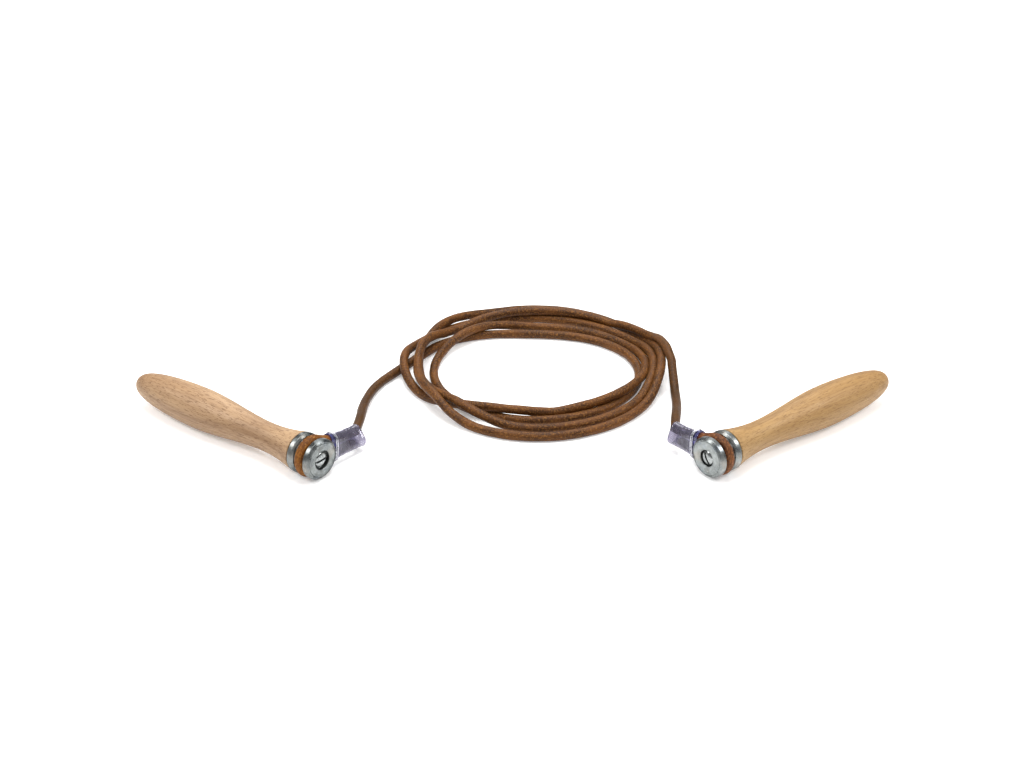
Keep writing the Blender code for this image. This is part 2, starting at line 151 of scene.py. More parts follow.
def newMaterial(name, fixed):
    # a material, its flow and its shader; fixed values go straight on the sockets
    made = bpy.data.materials.new(name)
    made.use_nodes = True
    shader = made.node_tree.nodes["Principled BSDF"]
    for key, value in fixed.items():
        shader.inputs[key].default_value = value
    return made, Flow(made.node_tree), shader


def feed(flow, shader, **sockets):
    names = {"colour": "Base Color", "roughness": "Roughness", "normal": "Normal"}
    for key, value in sockets.items():
        flow.tree.links.new(value.socket, shader.inputs[names[key]])


def bump(flow, height, strength, distance):
    return flow.add("ShaderNodeBump", {}, {"Height": height, "Strength": strength, "Distance": distance})


def finished(name, bm, finish, sharp=40):
    # every piece ends as one mesh with its place in its vertices
    bmesh.ops.recalc_face_normals(bm, faces=bm.faces)
    mesh = bpy.data.meshes.new(name)
    bm.to_mesh(mesh)
    bm.free()
    mesh.materials.append(finish)
    mesh.shade_smooth()
    mesh.set_sharp_from_angle(angle=math.radians(sharp))
    made = bpy.data.objects.new(name, mesh)
    bpy.context.collection.objects.link(made)
    return made


def turned(outline, frameMatrix, steps):
    # spin an outline of (radius, z) points round the frame's Z; ends on the axis are closed
    bm = bmesh.new()
    points = [bm.verts.new((radius, 0, z)) for radius, z in outline]
    edges = [bm.edges.new(pair) for pair in zip(points, points[1:])]
    if outline[0][0] > 0:
        edges.append(bm.edges.new((points[-1], points[0])))
    bmesh.ops.spin(bm, geom=points + edges, cent=(0, 0, 0), axis=(0, 0, 1), angle=2 * math.pi,
                   steps=steps, use_merge=True)
    bmesh.ops.remove_doubles(bm, verts=bm.verts, dist=1e-6)
    bmesh.ops.transform(bm, matrix=frameMatrix, verts=bm.verts)
    return bm


def lofted(sections, closed=False, rests=None):
    # a ring is extruded from section to section; rests are the same points on the straightened piece
    bm = bmesh.new()
    count = len(sections[0])
    layer = bm.verts.layers.float_vector.new("straight") if rests else None
    loop = bmesh.ops.create_circle(bm, segments=count, radius=1.0)["verts"]
    firstEdges = list(bm.edges)
    edges = firstEdges
    for index, section in enumerate(sections):
        if index:
            grown = bmesh.ops.extrude_edge_only(bm, edges=edges)["geom"]
            fresh = {part for part in grown if isinstance(part, bmesh.types.BMVert)}
            edges = [part for part in grown if isinstance(part, bmesh.types.BMEdge)
                     and all(vert in fresh for vert in part.verts)]
            loop = [next(edge.other_vert(vert) for edge in vert.link_edges if edge.other_vert(vert) in fresh)
                    for vert in loop]
        for vert, point in zip(loop, section):
            vert.co = point
        if rests:
            for vert, rest in zip(loop, rests[index]):
                vert[layer] = rest
    if closed:
        bmesh.ops.bridge_loops(bm, edges=edges + firstEdges)
    else:
        bmesh.ops.contextual_create(bm, geom=firstEdges)
        bmesh.ops.contextual_create(bm, geom=edges)
    return bm


def between(values, index, t):
    # a smooth curve through all the values, at a share t of the way from one to the next
    before, low = values[max(index - 1, 0)], values[index]
    high, after = values[index + 1], values[min(index + 2, len(values) - 1)]
    return 0.5 * (2 * low + (high - before) * t + (2 * before - 5 * low + 4 * high - after) * t * t
                  + (3 * low - before - 3 * high + after) * t ** 3)


def smoothPath(points, step):
    # a smooth curve through all the points, with a point about every step
    path = []
    for index in range(len(points) - 1):
        count = max(1, round((points[index + 1] - points[index]).length / step))
        path += [between(points, index, part / count) for part in range(count)]
    path.append(points[-1])
    return path


def tube(path, radii, round_, startSide):
    # round sections along a path, turned as little as possible from one to the next
    sections, rests = [], []
    across, run = startSide, 0.0
    for index, point in enumerate(path):
        ahead = (path[min(index + 1, len(path) - 1)] - path[max(index - 1, 0)]).normalized()
        across = (across - ahead * across.dot(ahead)).normalized()
        up = ahead.cross(across)
        if index:
            run += (point - path[index - 1]).length
        angles = [2 * math.pi * k / round_ for k in range(round_)]
        sections.append([point + (across * math.cos(a) + up * math.sin(a)) * radii[index] for a in angles])
        rests.append([(math.cos(a) * radii[index], math.sin(a) * radii[index], run) for a in angles])
    return sections, rests, run


# from the left sleeve through four and a half loose turns to the right sleeve, mm
ropeSettings = {
    "radius": 2.95,
    "round": 20,
    "step": 3.2,
    "unevenness": 0.045,       # of the radius, where the lace was cut thicker and thinner
    "middle": (13.0, 88.0),
    "firstQuarter": 0.15,      # the coil starts here, counted clockwise from the left, four to a turn
    "lastQuarter": 17.8,
    "perQuarter": 6,           # points of the route
    "lift": 2.95,
    "climbLength": 26.0,       # to a crossing
    "sameStretch": 40.0,       # closer along the rope than this is no crossing
    "handled": (0.14, 0.06),   # metres from either end, where handling starts to darken it and is full
}
ropeLeads = {   # from each sleeve's mouth to the coil, mm
    "left": ((-96.4, -6.4, 10.3), (-95.4, -1.0, 10.2), (-94.6, 12.0, 8.0), (-94.6, 27.0, 5.2),
             (-93.6, 42.0, 3.4), (-90.6, 57.0, 2.95), (-86.0, 68.5, 2.95), (-80.6, 77.6, 2.95)),
    "right": ((97.27, -9.86, 13.18), (98.6, 1.0, 12.2), (100.6, 14.0, 8.8), (102.6, 29.0, 5.4),
              (103.8, 44.0, 3.4), (104.1, 58.0, 2.95), (103.8, 70.0, 2.95), (103.0, 82.0, 2.95)),
}
turnReaches = (   # of each turn from the coil's middle, mm: left, back, right, front
    (80, 50, 70, 70),
    (65, 60, 75, 65),
    (85, 75, 80, 80),
    (75, 90, 85, 90),
    (75, 75, 90),
)


def reachAt(quarter):
    # smooth through the reaches, a quarter of a turn apart
    reaches = [reach for turn in turnReaches for reach in turn]
    index = min(int(quarter), len(reaches) - 2)
    return between(reaches, index, quarter - index)


def eased(heights):
    # the rope is stiff, so it climbs to each crossing and down again over a stretch
    s = ropeSettings
    reach = round(s["climbLength"] / s["step"])
    made = []
    for index, height in enumerate(heights):
        best = height
        for near in range(max(0, index - reach), min(len(heights), index + reach + 1)):
            share = 0.5 * (1 + math.cos(math.pi * (near - index) / reach))
            best = max(best, s["lift"] + (heights[near] - s["lift"]) * share)
        made.append(best)
    return made


def stacked(points):
    # each stretch rests on the earlier ones that it crosses
    s = ropeSettings
    thick = 2 * s["radius"]
    apart = round(s["sameStretch"] / s["step"])
    heights = [point.z for point in points]
    for _ in range(2):
        for index, point in enumerate(points):
            for before in range(index - apart):
                gap = math.hypot(point.x - points[before].x, point.y - points[before].y)
                if gap < thick:
                    resting = heights[before] + math.sqrt(thick ** 2 - gap ** 2)
                    heights[index] = max(heights[index], resting)
        heights = eased(heights)
    return [Vector((point.x, point.y, height)) for point, height in zip(points, heights)]


def ropePath():
    s = ropeSettings
    points = [Vector(point) for point in ropeLeads["left"]]
    count = round((s["lastQuarter"] - s["firstQuarter"]) * s["perQuarter"])
    for index in range(count + 1):
        quarter = s["firstQuarter"] + (s["lastQuarter"] - s["firstQuarter"]) * index / count
        angle = math.pi - quarter * math.pi / 2
        reach = reachAt(quarter)
        points.append(Vector((s["middle"][0] + reach * math.cos(angle),
                              s["middle"][1] + reach * math.sin(angle), s["lift"])))
    points += [Vector(point) for point in reversed(ropeLeads["right"])]
    return [point * mm for point in stacked(smoothPath(points, s["step"]))]


def unevenRadius(run):
    # slow and quick swellings of a cut lace, as a share of its radius
    slow, middling, quick = math.sin(run * 71.0), math.sin(run * 187.0 + 1.7), math.sin(run * 431.0 + 0.6)
    return (slow + 0.8 * middling + 0.5 * quick) / 2.3


def leatherMaterial(name, look, side=None):
    # vegetable-tanned lace: fibres along it, pale scuffs, dark pores
    made, flow, shader = newMaterial(name, {"Specular IOR Level": 0.16})
    straight = flow.add("ShaderNodeAttribute", {"attribute_name": "straight"}, {}, out=1)
    fibres = noise(flow, mapped(flow, straight, scale=(1, 1, 0.09)), 2600.0, 4.0, 0.6)
    patches = noise(flow, mapped(flow, straight, scale=(1, 1, 0.3)), 210.0, 3.0, 0.5)
    speckle = noise(flow, mapped(flow, straight, scale=(1, 1, 0.8)), 1050.0, 3.0, 0.62)
    pores = flow.add("ShaderNodeTexVoronoi", {}, {"Vector": mapped(flow, straight, scale=(1, 1, 0.4)),
                                                  "Scale": 1150.0})
    base = patches.ramp(0.34, 0.66).blend(look["dark"], look["middle"])
    base = (speckle.ramp(0.46, 0.70) * look["scuffs"]).blend(base, look["pale"])
    base = (fibres.ramp(0.50, 0.30) * 0.55).blend(base, look["deep"])
    pits = pores.ramp(0.22, 0.05)
    base = (pits * 0.5).blend(base, look["deep"])
    if side:                           # painted shade inside the sleeve, dark and violet like light through the vinyl
        away = flow.add("ShaderNodeSeparateXYZ", {}, {"Vector": inHandle(flow, side)}, out=0)
        base = (away.ramp(0.0125, 0.0150) * 0.8).blend(base, (0.085, 0.030, 0.036))
    else:                              # both leads are darkened by handling
        run = flow.add("ShaderNodeSeparateXYZ", {}, {"Vector": straight}, out=2)
        starts, full = ropeSettings["handled"]
        handled = run.ramp(starts, full) + run.ramp(ropeLength - starts, ropeLength - full)
        base = (handled * 0.6).blend(base, (0.036, 0.017, 0.005))
    rough = speckle.ramp(0.3, 0.7, look["gloss"], look["gloss"] + 0.2)
    height = fibres * 0.5 + speckle * 0.8 - pits * 0.5
    feed(flow, shader, colour=base, roughness=rough, normal=bump(flow, height, 0.55, 0.0004))
    return made


leatherLooks = {
    "rope": {"deep": (0.010, 0.003, 0.001), "dark": (0.044, 0.015, 0.003), "middle": (0.105, 0.037, 0.007),
             "pale": (0.27, 0.115, 0.026), "scuffs": 0.75, "gloss": 0.40},
    "left": {"deep": (0.022, 0.006, 0.001), "dark": (0.095, 0.030, 0.005), "middle": (0.215, 0.075, 0.011),
             "pale": (0.44, 0.195, 0.045), "scuffs": 0.62, "gloss": 0.5},
    "right": {"deep": (0.014, 0.005, 0.002), "dark": (0.050, 0.016, 0.006), "middle": (0.145, 0.050, 0.014),
              "pale": (0.44, 0.185, 0.07), "scuffs": 0.62, "gloss": 0.42},
}
ropeLine = ropePath()
ropeRadii, ropeRun = [], 0.0
for index, point in enumerate(ropeLine):
    if index:
        ropeRun += (point - ropeLine[index - 1]).length
    swell = 1 + ropeSettings["unevenness"] * unevenRadius(ropeRun)
    ropeRadii.append(ropeSettings["radius"] * mm * swell)
ropeSections, ropeRests, ropeLength = tube(ropeLine, ropeRadii, ropeSettings["round"], Vector((1, 0, 0)))
rope = finished("leather_rope", lofted(ropeSections, rests=ropeRests),
                leatherMaterial("ropeLeather", leatherLooks["rope"]), sharp=80)
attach(rope, "rope")
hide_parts("rope_coil", "left_lead", "right_lead")
print("rope laid, metres:", round(ropeLength, 3))


# mm, with stations from the front flange's face along the grip
headSettings = {
    "bearingAt": 8.7,
    "flangeRadius": 12.5,
    "flangeThickness": 4.8,
    "bevel": 1.3,
    "backFlangeAt": 12.6,
    "groove": (10.6, 0.30, 0.34),      # radius of its middle, depth, width
    "edgeRound": 0.22,
    "edgeHold": 0.04,                  # flat kept flat beside a rounded edge
    "backBevel": 0.6,                  # of the bevel, on a disc's far side
    "recessRound": 0.25,
    "recessLip": (0.2, 0.26),
    "recessDepth": 2.9,
    "recessMargin": {"left": 1.2, "right": 0.4},
    "recessShade": {"left": 0.75, "right": 0.35},      # painted shade in the recess
    # painted shade over the discs, stronger on the left, laid in cloudy patches
    "sideShade": {"left": 0.75, "right": 0.25},
    "bore": 2.5,
}


def handleMatrix(side):
    # Z runs down the grip, X the way the sleeve leaves, from the middle of the front flange's face
    spin = spins[f"{side}_handle_spin"]
    along = Vector(spin["axis"]).normalized()
    away = Vector((-sides[side] * along.y, abs(along.x), 0))
    made = Matrix((away, along.cross(away), along)).transposed().to_4x4()
    made.translation = Vector(spin["pos_m"]) - along * headSettings["bearingAt"] * mm
    return made


handleFrames = {side: handleMatrix(side) for side in sides}


def inHandle(flow, side):
    # object coordinates turned into the handle's own, so a pattern can follow its axis
    turn = handleFrames[side].to_3x3().transposed()
    place = -(turn @ handleFrames[side].translation)
    objectPlace = flow.add("ShaderNodeTexCoord", {}, {}, out=3)
    return mapped(flow, objectPlace, location=place, rotation=turn.to_euler())


def fromAxis(flow, local):
    # distance from the handle's axis, metres
    flat = flow.add("ShaderNodeVectorMath", {"operation": "MULTIPLY"}, {0: local, 1: (1.0, 1.0, 0.0)})
    return flow.add("ShaderNodeVectorMath", {"operation": "LENGTH"}, {0: flat}, out=1)


def inMetres(outline):
    return [(radius * mm, z * mm) for radius, z in outline]


def rounded(corner, before, after, radius, steps=4):
    # points of a rounded corner between the directions to before and after
    corner, before, after = (Vector(point) for point in (corner, before, after))
    start = corner + (before - corner).normalized() * radius
    end = corner + (after - corner).normalized() * radius
    points = [tuple(start + (before - corner).normalized() * headSettings["edgeHold"])]
    for index in range(steps + 1):
        t = index / steps
        point = start * (1 - t) ** 2 + corner * 2 * t * (1 - t) + end * t * t
        points.append((point.x, point.y))
    points.append(tuple(end + (after - corner).normalized() * headSettings["edgeHold"]))
    return points


def zincMaterial(side):
    # bright zinc plate: turned rings on the faces, milky and blue-brown patches, light and dark grit
    made, flow, shader = newMaterial(f"{side}ZincPlate", {"Metallic": 1.0})
    local = inHandle(flow, side)
    away = fromAxis(flow, local)
    rings = flow.add("ShaderNodeTexNoise", {"noise_dimensions": "1D"},
                     {"W": away, "Scale": 5200.0, "Detail": 3.0, "Roughness": 0.6})
    clouds = noise(flow, local, 170.0, 4.0, 0.6)
    tint = noise(flow, mapped(flow, local, location=(0.3, 0.1, 0.2)), 95.0, 2.0, 0.5)
    grit = noise(flow, local, 2400.0, 3.0, 0.7)
    base = clouds.ramp(0.35, 0.65).blend((0.16, 0.173, 0.171), (0.27, 0.288, 0.284))
    base = (tint.ramp(0.52, 0.7) * 0.35).blend(base, (0.27, 0.21, 0.155))
    base = (tint.ramp(0.48, 0.3) * 0.35).blend(base, (0.19, 0.235, 0.29))
    base = (grit.ramp(0.54, 0.68) * 0.5).blend(base, (0.55, 0.57, 0.56))
    base = (grit.ramp(0.40, 0.26) * 0.55).blend(base, (0.07, 0.072, 0.07))
    # painted shade: the discs are darkened in cloudy patches, more on the left than the right
    base = (clouds.ramp(1.0, 0.0) * headSettings["sideShade"][side]).blend(base, (0.035, 0.038, 0.037))
    # painted shade in the recess round the screw head
    recessShade = away.ramp(0.0061, 0.0050) * headSettings["recessShade"][side]
    base = recessShade.blend(base, (0.030, 0.030, 0.032))
    base = (rings.ramp(0.56, 0.68) * 0.35).blend(base, (0.42, 0.44, 0.43))
    rough = clouds.ramp(0.3, 0.7, 0.24, 0.34) + grit.ramp(0.4, 0.7, 0.0, 0.08)
    height = rings * 0.8 + grit * 0.35
    feed(flow, shader, colour=base, roughness=rough, normal=bump(flow, height, 0.45, 0.00003))
    return made


def steelMaterial(name, look, side=None):
    # screw and wire steel: fine scratches and dull spots, painted shade along a screw's slot
    made, flow, shader = newMaterial(name, {"Metallic": 1.0})
    place = flow.add("ShaderNodeTexCoord", {}, {}, out=3)
    spots = noise(flow, place, 900.0, 4.0, 0.6)
    brushed = mapped(flow, place, rotation=(0.4, 0.9, 0.6), scale=(1, 1, 0.08))
    scratches = noise(flow, brushed, 3200.0, 2.0, 0.5)
    base = spots.ramp(0.35, 0.68).blend(look["dull"], look["bright"])
    base = (scratches.ramp(0.62, 0.75) * 0.4).blend(base, look["bright"])
    if side:
        alongSlot = mapped(flow, inHandle(flow, side), rotation=(0, 0, screwSettings["slotAngle"][side]))
        across = flow.add("ShaderNodeSeparateXYZ", {}, {"Vector": alongSlot}, out=1)
        half = screwSettings["slotWidth"] * mm / 2
        # painted shade in a stripe along the screw's slot
        slotShade = flow.sum("ABSOLUTE", across).ramp(half * 1.02, half * 0.9)
        base = (slotShade * 0.88).blend(base, (0.022, 0.022, 0.023))
    rough = spots.ramp(0.3, 0.7, look["gloss"], look["gloss"] + 0.16)
    feed(flow, shader, colour=base, roughness=rough,
         normal=bump(flow, spots * 0.6 + scratches * 0.5, 0.35, 0.00002))
    return made


def flangeOutline(at, recess):
    # outline of a thick disc: grooved face, bevelled and slightly rounded rims
    s = headSettings
    radius, bevel, end = s["flangeRadius"], s["bevel"], at + s["flangeThickness"]
    middle, depth, width = s["groove"]
    corners = [(radius - bevel, at), (radius, at + bevel), (radius, end - bevel * s["backBevel"]),
               (radius - bevel * s["backBevel"], end)]
    outline = [(middle - width * 1.3, at), (middle - width, at), (middle - width / 2, at + depth),
               (middle + width / 2, at + depth), (middle + width, at)]
    whole = [outline[-1], *corners, (s["bore"], end)]
    for index in range(1, 5):
        outline += rounded(whole[index], whole[index - 1], whole[index + 1], s["edgeRound"])
    outline.append((s["bore"], end))
    if recess:
        floorAt, foot = at + s["recessDepth"], s["recessRound"]
        lip, lipEnd = s["recessLip"]
        outline += [(s["bore"], floorAt), (recess - foot, floorAt), (recess, floorAt - foot),
                    (recess, at + lip), (recess + lip, at), (recess + lipEnd, at)]
    else:
        outline.append((s["bore"], at))
    return inMetres(outline)


screwSettings = {
    "headRadius": 4.7,
    "headAt": 2.6,
    "rim": 0.9,
    "dome": {"left": 1.5, "right": 2.0},
    "length": 48.0,
    "point": 4.0,
    "shank": 2.2,
    "slotWidth": 1.5,
    "slotDepth": 1.1,
    "slotAngle": {"left": math.radians(1), "right": math.radians(-56)},
    "arcSteps": 14,
    "rimRound": 0.2,
    "softEdge": 0.1,
}


def screwMesh(side):
    s = screwSettings
    rim, dome = s["headAt"] - s["rim"], s["dome"][side]
    arc = [(s["headRadius"] * math.sin(a), rim - dome * math.cos(a))
           for a in (math.pi / 2 * k / s["arcSteps"] for k in range(s["arcSteps"] + 1))]
    tip = s["headAt"] + s["length"]
    arc[0] = (0, arc[0][1])
    edge = rounded((s["headRadius"], s["headAt"]), (s["headRadius"], rim), (0, s["headAt"]), s["rimRound"])
    outline = arc + edge + [(s["shank"], s["headAt"]), (s["shank"], tip - s["point"]), (0, tip)]
    bm = turned(inMetres(outline), Matrix.Identity(4), 96)
    body = finished(f"{side}_screw_blank", bm, None)
    bm = bmesh.new()
    bmesh.ops.create_cube(bm, size=1.0)
    bladeSize = Vector((3 * s["headRadius"], s["slotWidth"], 2 * s["slotDepth"])) * mm
    bmesh.ops.scale(bm, verts=bm.verts, vec=bladeSize)
    bmesh.ops.rotate(bm, verts=bm.verts, cent=(0, 0, 0),
                     matrix=Matrix.Rotation(-s["slotAngle"][side], 3, "Z"))
    bmesh.ops.translate(bm, verts=bm.verts, vec=(0, 0, (rim - dome) * mm))
    blade = finished(f"{side}_slot_blade", bm, None)
    cut = body.modifiers.new("slot", "BOOLEAN")
    cut.operation = "DIFFERENCE"
    cut.object = blade
    cut.solver = "EXACT"
    soft = body.modifiers.new("soften", "BEVEL")
    soft.width = s["softEdge"] * mm
    soft.segments = 2
    soft.limit_method = "ANGLE"
    soft.angle_limit = math.radians(50)
    ready = bpy.data.meshes.new_from_object(body.evaluated_get(bpy.context.evaluated_depsgraph_get()))
    for spare in (body, blade):
        bpy.data.objects.remove(spare)
    made = bmesh.new()
    made.from_mesh(ready)
    bpy.data.meshes.remove(ready)
    bmesh.ops.transform(made, matrix=handleFrames[side], verts=made.verts)
    return made


gripSettings = {
    "start": 17.7,
    "length": 141.0,
    "frontRadius": 12.2,
    "neckAt": 0.19,
    "neckRadius": 8.9,
    "bellyAt": 0.60,
    "bellyRadius": 13.0,
    "tailBend": 1.8,
    "tailFullness": 3.2,
    "bore": 2.5,
    "boreLength": 50.0,
    "boreTip": 52.6,
    "rimInset": 0.4,
    "rubbedRim": 0.35,
    "rimStation": 0.3,
}
woodLooks = {
    "left": {"pale": (0.43, 0.280, 0.155), "middle": (0.315, 0.190, 0.098), "dark": (0.145, 0.070, 0.030),
             "heart": (0.009, 0.022), "rings": 620.0, "flecks": 1.0, "seed": 0.0},
    "right": {"pale": (0.44, 0.280, 0.115), "middle": (0.325, 0.185, 0.066), "dark": (0.145, 0.070, 0.022),
              "heart": (0.021, -0.006), "rings": 520.0, "flecks": 0.75, "seed": 3.7},
}


def gripRadius(share):
    s = gripSettings
    if share < s["neckAt"]:
        return s["frontRadius"] + (s["neckRadius"] - s["frontRadius"]) * (1 - (1 - share / s["neckAt"]) ** 2)
    if share < s["bellyAt"]:
        rise = (share - s["neckAt"]) / (s["bellyAt"] - s["neckAt"])
        return s["neckRadius"] + (s["bellyRadius"] - s["neckRadius"]) * rise * rise * (3 - 2 * rise)
    fall = min(1.0, (share - s["bellyAt"]) / (1 - s["bellyAt"]))
    return s["bellyRadius"] * (1 - fall ** s["tailBend"]) ** (1 / s["tailFullness"])


def gripOutline():
    s = gripSettings
    shares = [s["bellyAt"] * k / 40 for k in range(40)]
    shares += [1 - (1 - s["bellyAt"]) * (1 - k / 40) ** 2.6 for k in range(41)]
    outline = [(s["bore"], s["start"]), (s["frontRadius"] - s["rimInset"], s["start"])]
    for share in shares:
        rubbed = max(0.0, s["rubbedRim"] - share * 120) * 0.5
        outline.append((gripRadius(share) - rubbed, s["start"] + max(s["length"] * share, s["rimStation"])))
    outline[-1] = (0, s["start"] + s["length"])
    outline += [(0, s["start"] + s["boreTip"]), (s["bore"], s["start"] + s["boreLength"])]
    return inMetres(outline)


def woodMaterial(side):
    # oiled beech: growth rings cut by the turning, ray flecks and pores along the grain
    look = woodLooks[side]
    made, flow, shader = newMaterial(f"{side}Beech", {"Specular IOR Level": 0.38})
    local = inHandle(flow, side)
    shifted = mapped(flow, local, location=(look["seed"], look["seed"] * 0.5, look["seed"] * 0.3))
    grain = noise(flow, mapped(flow, shifted, scale=(1, 1, 0.035)), 900.0, 4.0, 0.6)
    wander = noise(flow, mapped(flow, shifted, scale=(1, 1, 0.16)), 75.0, 3.0, 0.5)
    broad = noise(flow, mapped(flow, shifted, scale=(1, 1, 0.12)), 38.0, 2.0, 0.5)
    heart = mapped(flow, local, location=(-look["heart"][0], -look["heart"][1], 0.0))
    rings = (fromAxis(flow, heart) + wander * 0.0035) * look["rings"]
    late = flow.sum("SINE", rings)
    flecks = noise(flow, mapped(flow, shifted, scale=(1, 1, 0.11)), 2100.0, 2.0, 0.45)
    pores = flow.add("ShaderNodeTexVoronoi", {}, {"Vector": mapped(flow, shifted, scale=(1, 1, 0.11)),
                                                  "Scale": 1250.0})
    base = broad.ramp(0.32, 0.68).blend(look["middle"], look["pale"])
    base = (late.ramp(0.1, 0.98) * 0.34).blend(base, look["dark"])
    base = (grain.ramp(0.46, 0.68) * 0.36).blend(base, look["dark"])
    base = (grain.ramp(0.46, 0.28) * 0.45).blend(base, look["pale"])
    dashes = flecks.ramp(0.57, 0.63)
    base = (dashes * 0.7 * look["flecks"]).blend(base, look["dark"])
    pits = pores.ramp(0.13, 0.03)
    base = (pits * 0.75).blend(base, (0.085, 0.038, 0.016))
    rough = grain.ramp(0.3, 0.7, 0.44, 0.58)
    height = grain * 0.6 - dashes * 0.35 - pits * 0.5
    feed(flow, shader, colour=base, roughness=rough, normal=bump(flow, height, 0.4, 0.00025))
    return made


# the rope's end, laid round the bearing and doubled back into its sleeve, mm
eyeSettings = {
    "strand": 2.85,
    "turnRadius": 10.15,
    "leaveAngle": math.radians(66),
    "levelAt": 31.0,
    "offset": 3.0,
    "droop": {"left": math.radians(7), "right": math.radians(4)},
    "twist": {"left": math.radians(42), "right": math.radians(24)},
    "twistFrom": 15.0,
    "sleeveAt": 13.3,
    "sleeveLength": {"left": 27.5, "right": 23.5},
    "tailInset": 6.0,
    "standingInset": 0.2,
    "round": 24,
    "squeezed": 1.05,       # wider between the discs than the strand
}
sleeveSettings = {"clearance": 0.45, "wall": 0.7, "pinch": 0.28, "flare": 0.6, "stations": 44, "arc": 14}
tieSettings = {"wire": 0.40, "pitch": 1.3, "turns": 2, "at": 2.6, "gap": 0.3, "perTurn": 56,
               "round": 12}


def strandOffset(x):
    s = eyeSettings
    if x >= s["levelAt"]:
        return s["offset"]
    start = s["turnRadius"] * math.cos(s["leaveAngle"])
    top = s["turnRadius"] * math.sin(s["leaveAngle"])
    span = s["levelAt"] - start
    slope = -1 / math.tan(s["leaveAngle"])
    t = (x - start) / span
    return (top * (2 * t ** 3 - 3 * t ** 2 + 1) + span * slope * (t ** 3 - 2 * t ** 2 + t)
            + s["offset"] * (3 * t ** 2 - 2 * t ** 3))


def sleeveReach(x):
    slope = (strandOffset(x + 0.01) - strandOffset(x - 0.01)) / 0.02
    return strandOffset(x) + eyeSettings["strand"] * (math.hypot(1, slope) - 1)


def sleeveEnd(side):
    return eyeSettings["sleeveAt"] + eyeSettings["sleeveLength"][side]


def hung(side, x, up, along):
    # a point of an eye: x from the bearing's axis to the mouth, twisted and drooping like the sleeve
    s = eyeSettings
    share = max(0.0, min(1.0, (x - s["twistFrom"]) / (sleeveEnd(side) - s["twistFrom"])))
    twist = s["twist"][side] * share * share * (3 - 2 * share)
    risen = up * math.cos(twist) - along * math.sin(twist)
    moved = along * math.cos(twist) + up * math.sin(twist)
    droop = s["droop"][side]
    place = Vector((x * math.cos(droop) + risen * math.sin(droop),
                    sides[side] * (risen * math.cos(droop) - x * math.sin(droop)),
                    headSettings["bearingAt"] + moved))
    return handleFrames[side] @ (place * mm)


def eyeMesh(side):
    s = eyeSettings
    start = s["turnRadius"] * math.cos(s["leaveAngle"])
    steps = 34

    def leg(end, sign):
        stations = [start + (end - start) * k / steps for k in range(1, steps + 1)]
        return [hung(side, x, sign * strandOffset(x), 0) for x in stations]

    turn = 2 * (math.pi - s["leaveAngle"])
    angles = [s["leaveAngle"] + turn * k / 60 for k in range(61)]
    bend = [hung(side, s["turnRadius"] * math.cos(a), s["turnRadius"] * math.sin(a), 0) for a in angles]
    standing = leg(sleeveEnd(side) - s["standingInset"], 1)
    tail = leg(sleeveEnd(side) - s["tailInset"], -1)
    path = standing[::-1] + bend + tail
    radii = [s["strand"] * mm] * len(path)
    for index in range(4):            # the cut tail is rounded off
        radii[-1 - index] *= (0.55, 0.8, 0.93, 0.98)[index]
    across = handleFrames[side].to_3x3() @ Vector((0, 0, 1))
    sections, rests, _ = tube(path, radii, s["round"], across)
    grow = s["squeezed"] - 1
    middle = handleFrames[side] @ Vector((0, 0, headSettings["bearingAt"] * mm))
    for index, section in enumerate(sections):
        share = (index - steps + 6) / (len(bend) + 12)
        swell = math.sin(math.pi * max(0.0, min(1.0, share))) ** 0.5 if 0 < share < 1 else 0.0
        for k, point in enumerate(section):
            off = (point - middle).dot(across)
            section[k] = point + across * off * grow * swell
    return lofted(sections, rests=rests)


def ovalRing(side, x, radius):
    # outline round both strands, two half circles joined by straight sides
    count = sleeveSettings["arc"]
    points = []
    for sign in (1, -1):
        for k in range(count + 1):
            angle = math.pi * k / count
            points.append(hung(side, x, sign * (sleeveReach(x) + radius * math.sin(angle)),
                               sign * radius * math.cos(angle)))
    return points


def sleeveMesh(side):
    s, eye = sleeveSettings, eyeSettings
    inner = eye["strand"] + s["clearance"]
    tie = eye["sleeveAt"] + tieSettings["at"] + tieSettings["pitch"] * tieSettings["turns"] / 2
    skin, lining = [], []
    for k in range(s["stations"] + 1):
        share = k / s["stations"]
        x = eye["sleeveAt"] + eye["sleeveLength"][side] * share
        squeeze = s["pinch"] * math.exp(-((x - tie) / 1.5) ** 2)
        edge = 0.22 * max(0.0, 1 - min(share, 1 - share) * s["stations"] / 1.6) ** 2
        wave = 0.05 * math.sin(x * 1.9 + 0.6) + 0.04 * math.sin(x * 0.83)
        open_ = s["flare"] * max(0.0, share - 0.86) / 0.14 * 0.5
        skin.append(ovalRing(side, x, inner + s["wall"] - squeeze - edge + wave + open_))
        lining.append(ovalRing(side, x, inner - squeeze + edge * 0.6 + wave + open_))
    return lofted(skin + lining[::-1], closed=True)


def tieMesh(side):
    s = tieSettings
    around = eyeSettings["strand"] + sleeveSettings["clearance"] + sleeveSettings["wall"] + s["wire"]
    around += s["gap"] - sleeveSettings["pinch"]
    path = []
    for k in range(s["perTurn"] * s["turns"] + 1):
        x = eyeSettings["sleeveAt"] + s["at"] + s["pitch"] * k / s["perTurn"]
        angle = 2 * math.pi * k / s["perTurn"]
        aside = max(-1.0, min(1.0, 2.2 * math.sin(angle)))
        up = around * math.sin(angle) + sleeveReach(x) * aside
        path.append(hung(side, x, up, around * math.cos(angle)))
    across = handleFrames[side].to_3x3() @ Vector((1, 0, 0))
    sections, _, _ = tube(path, [s["wire"] * mm] * len(path), s["round"], across)
    return lofted(sections)


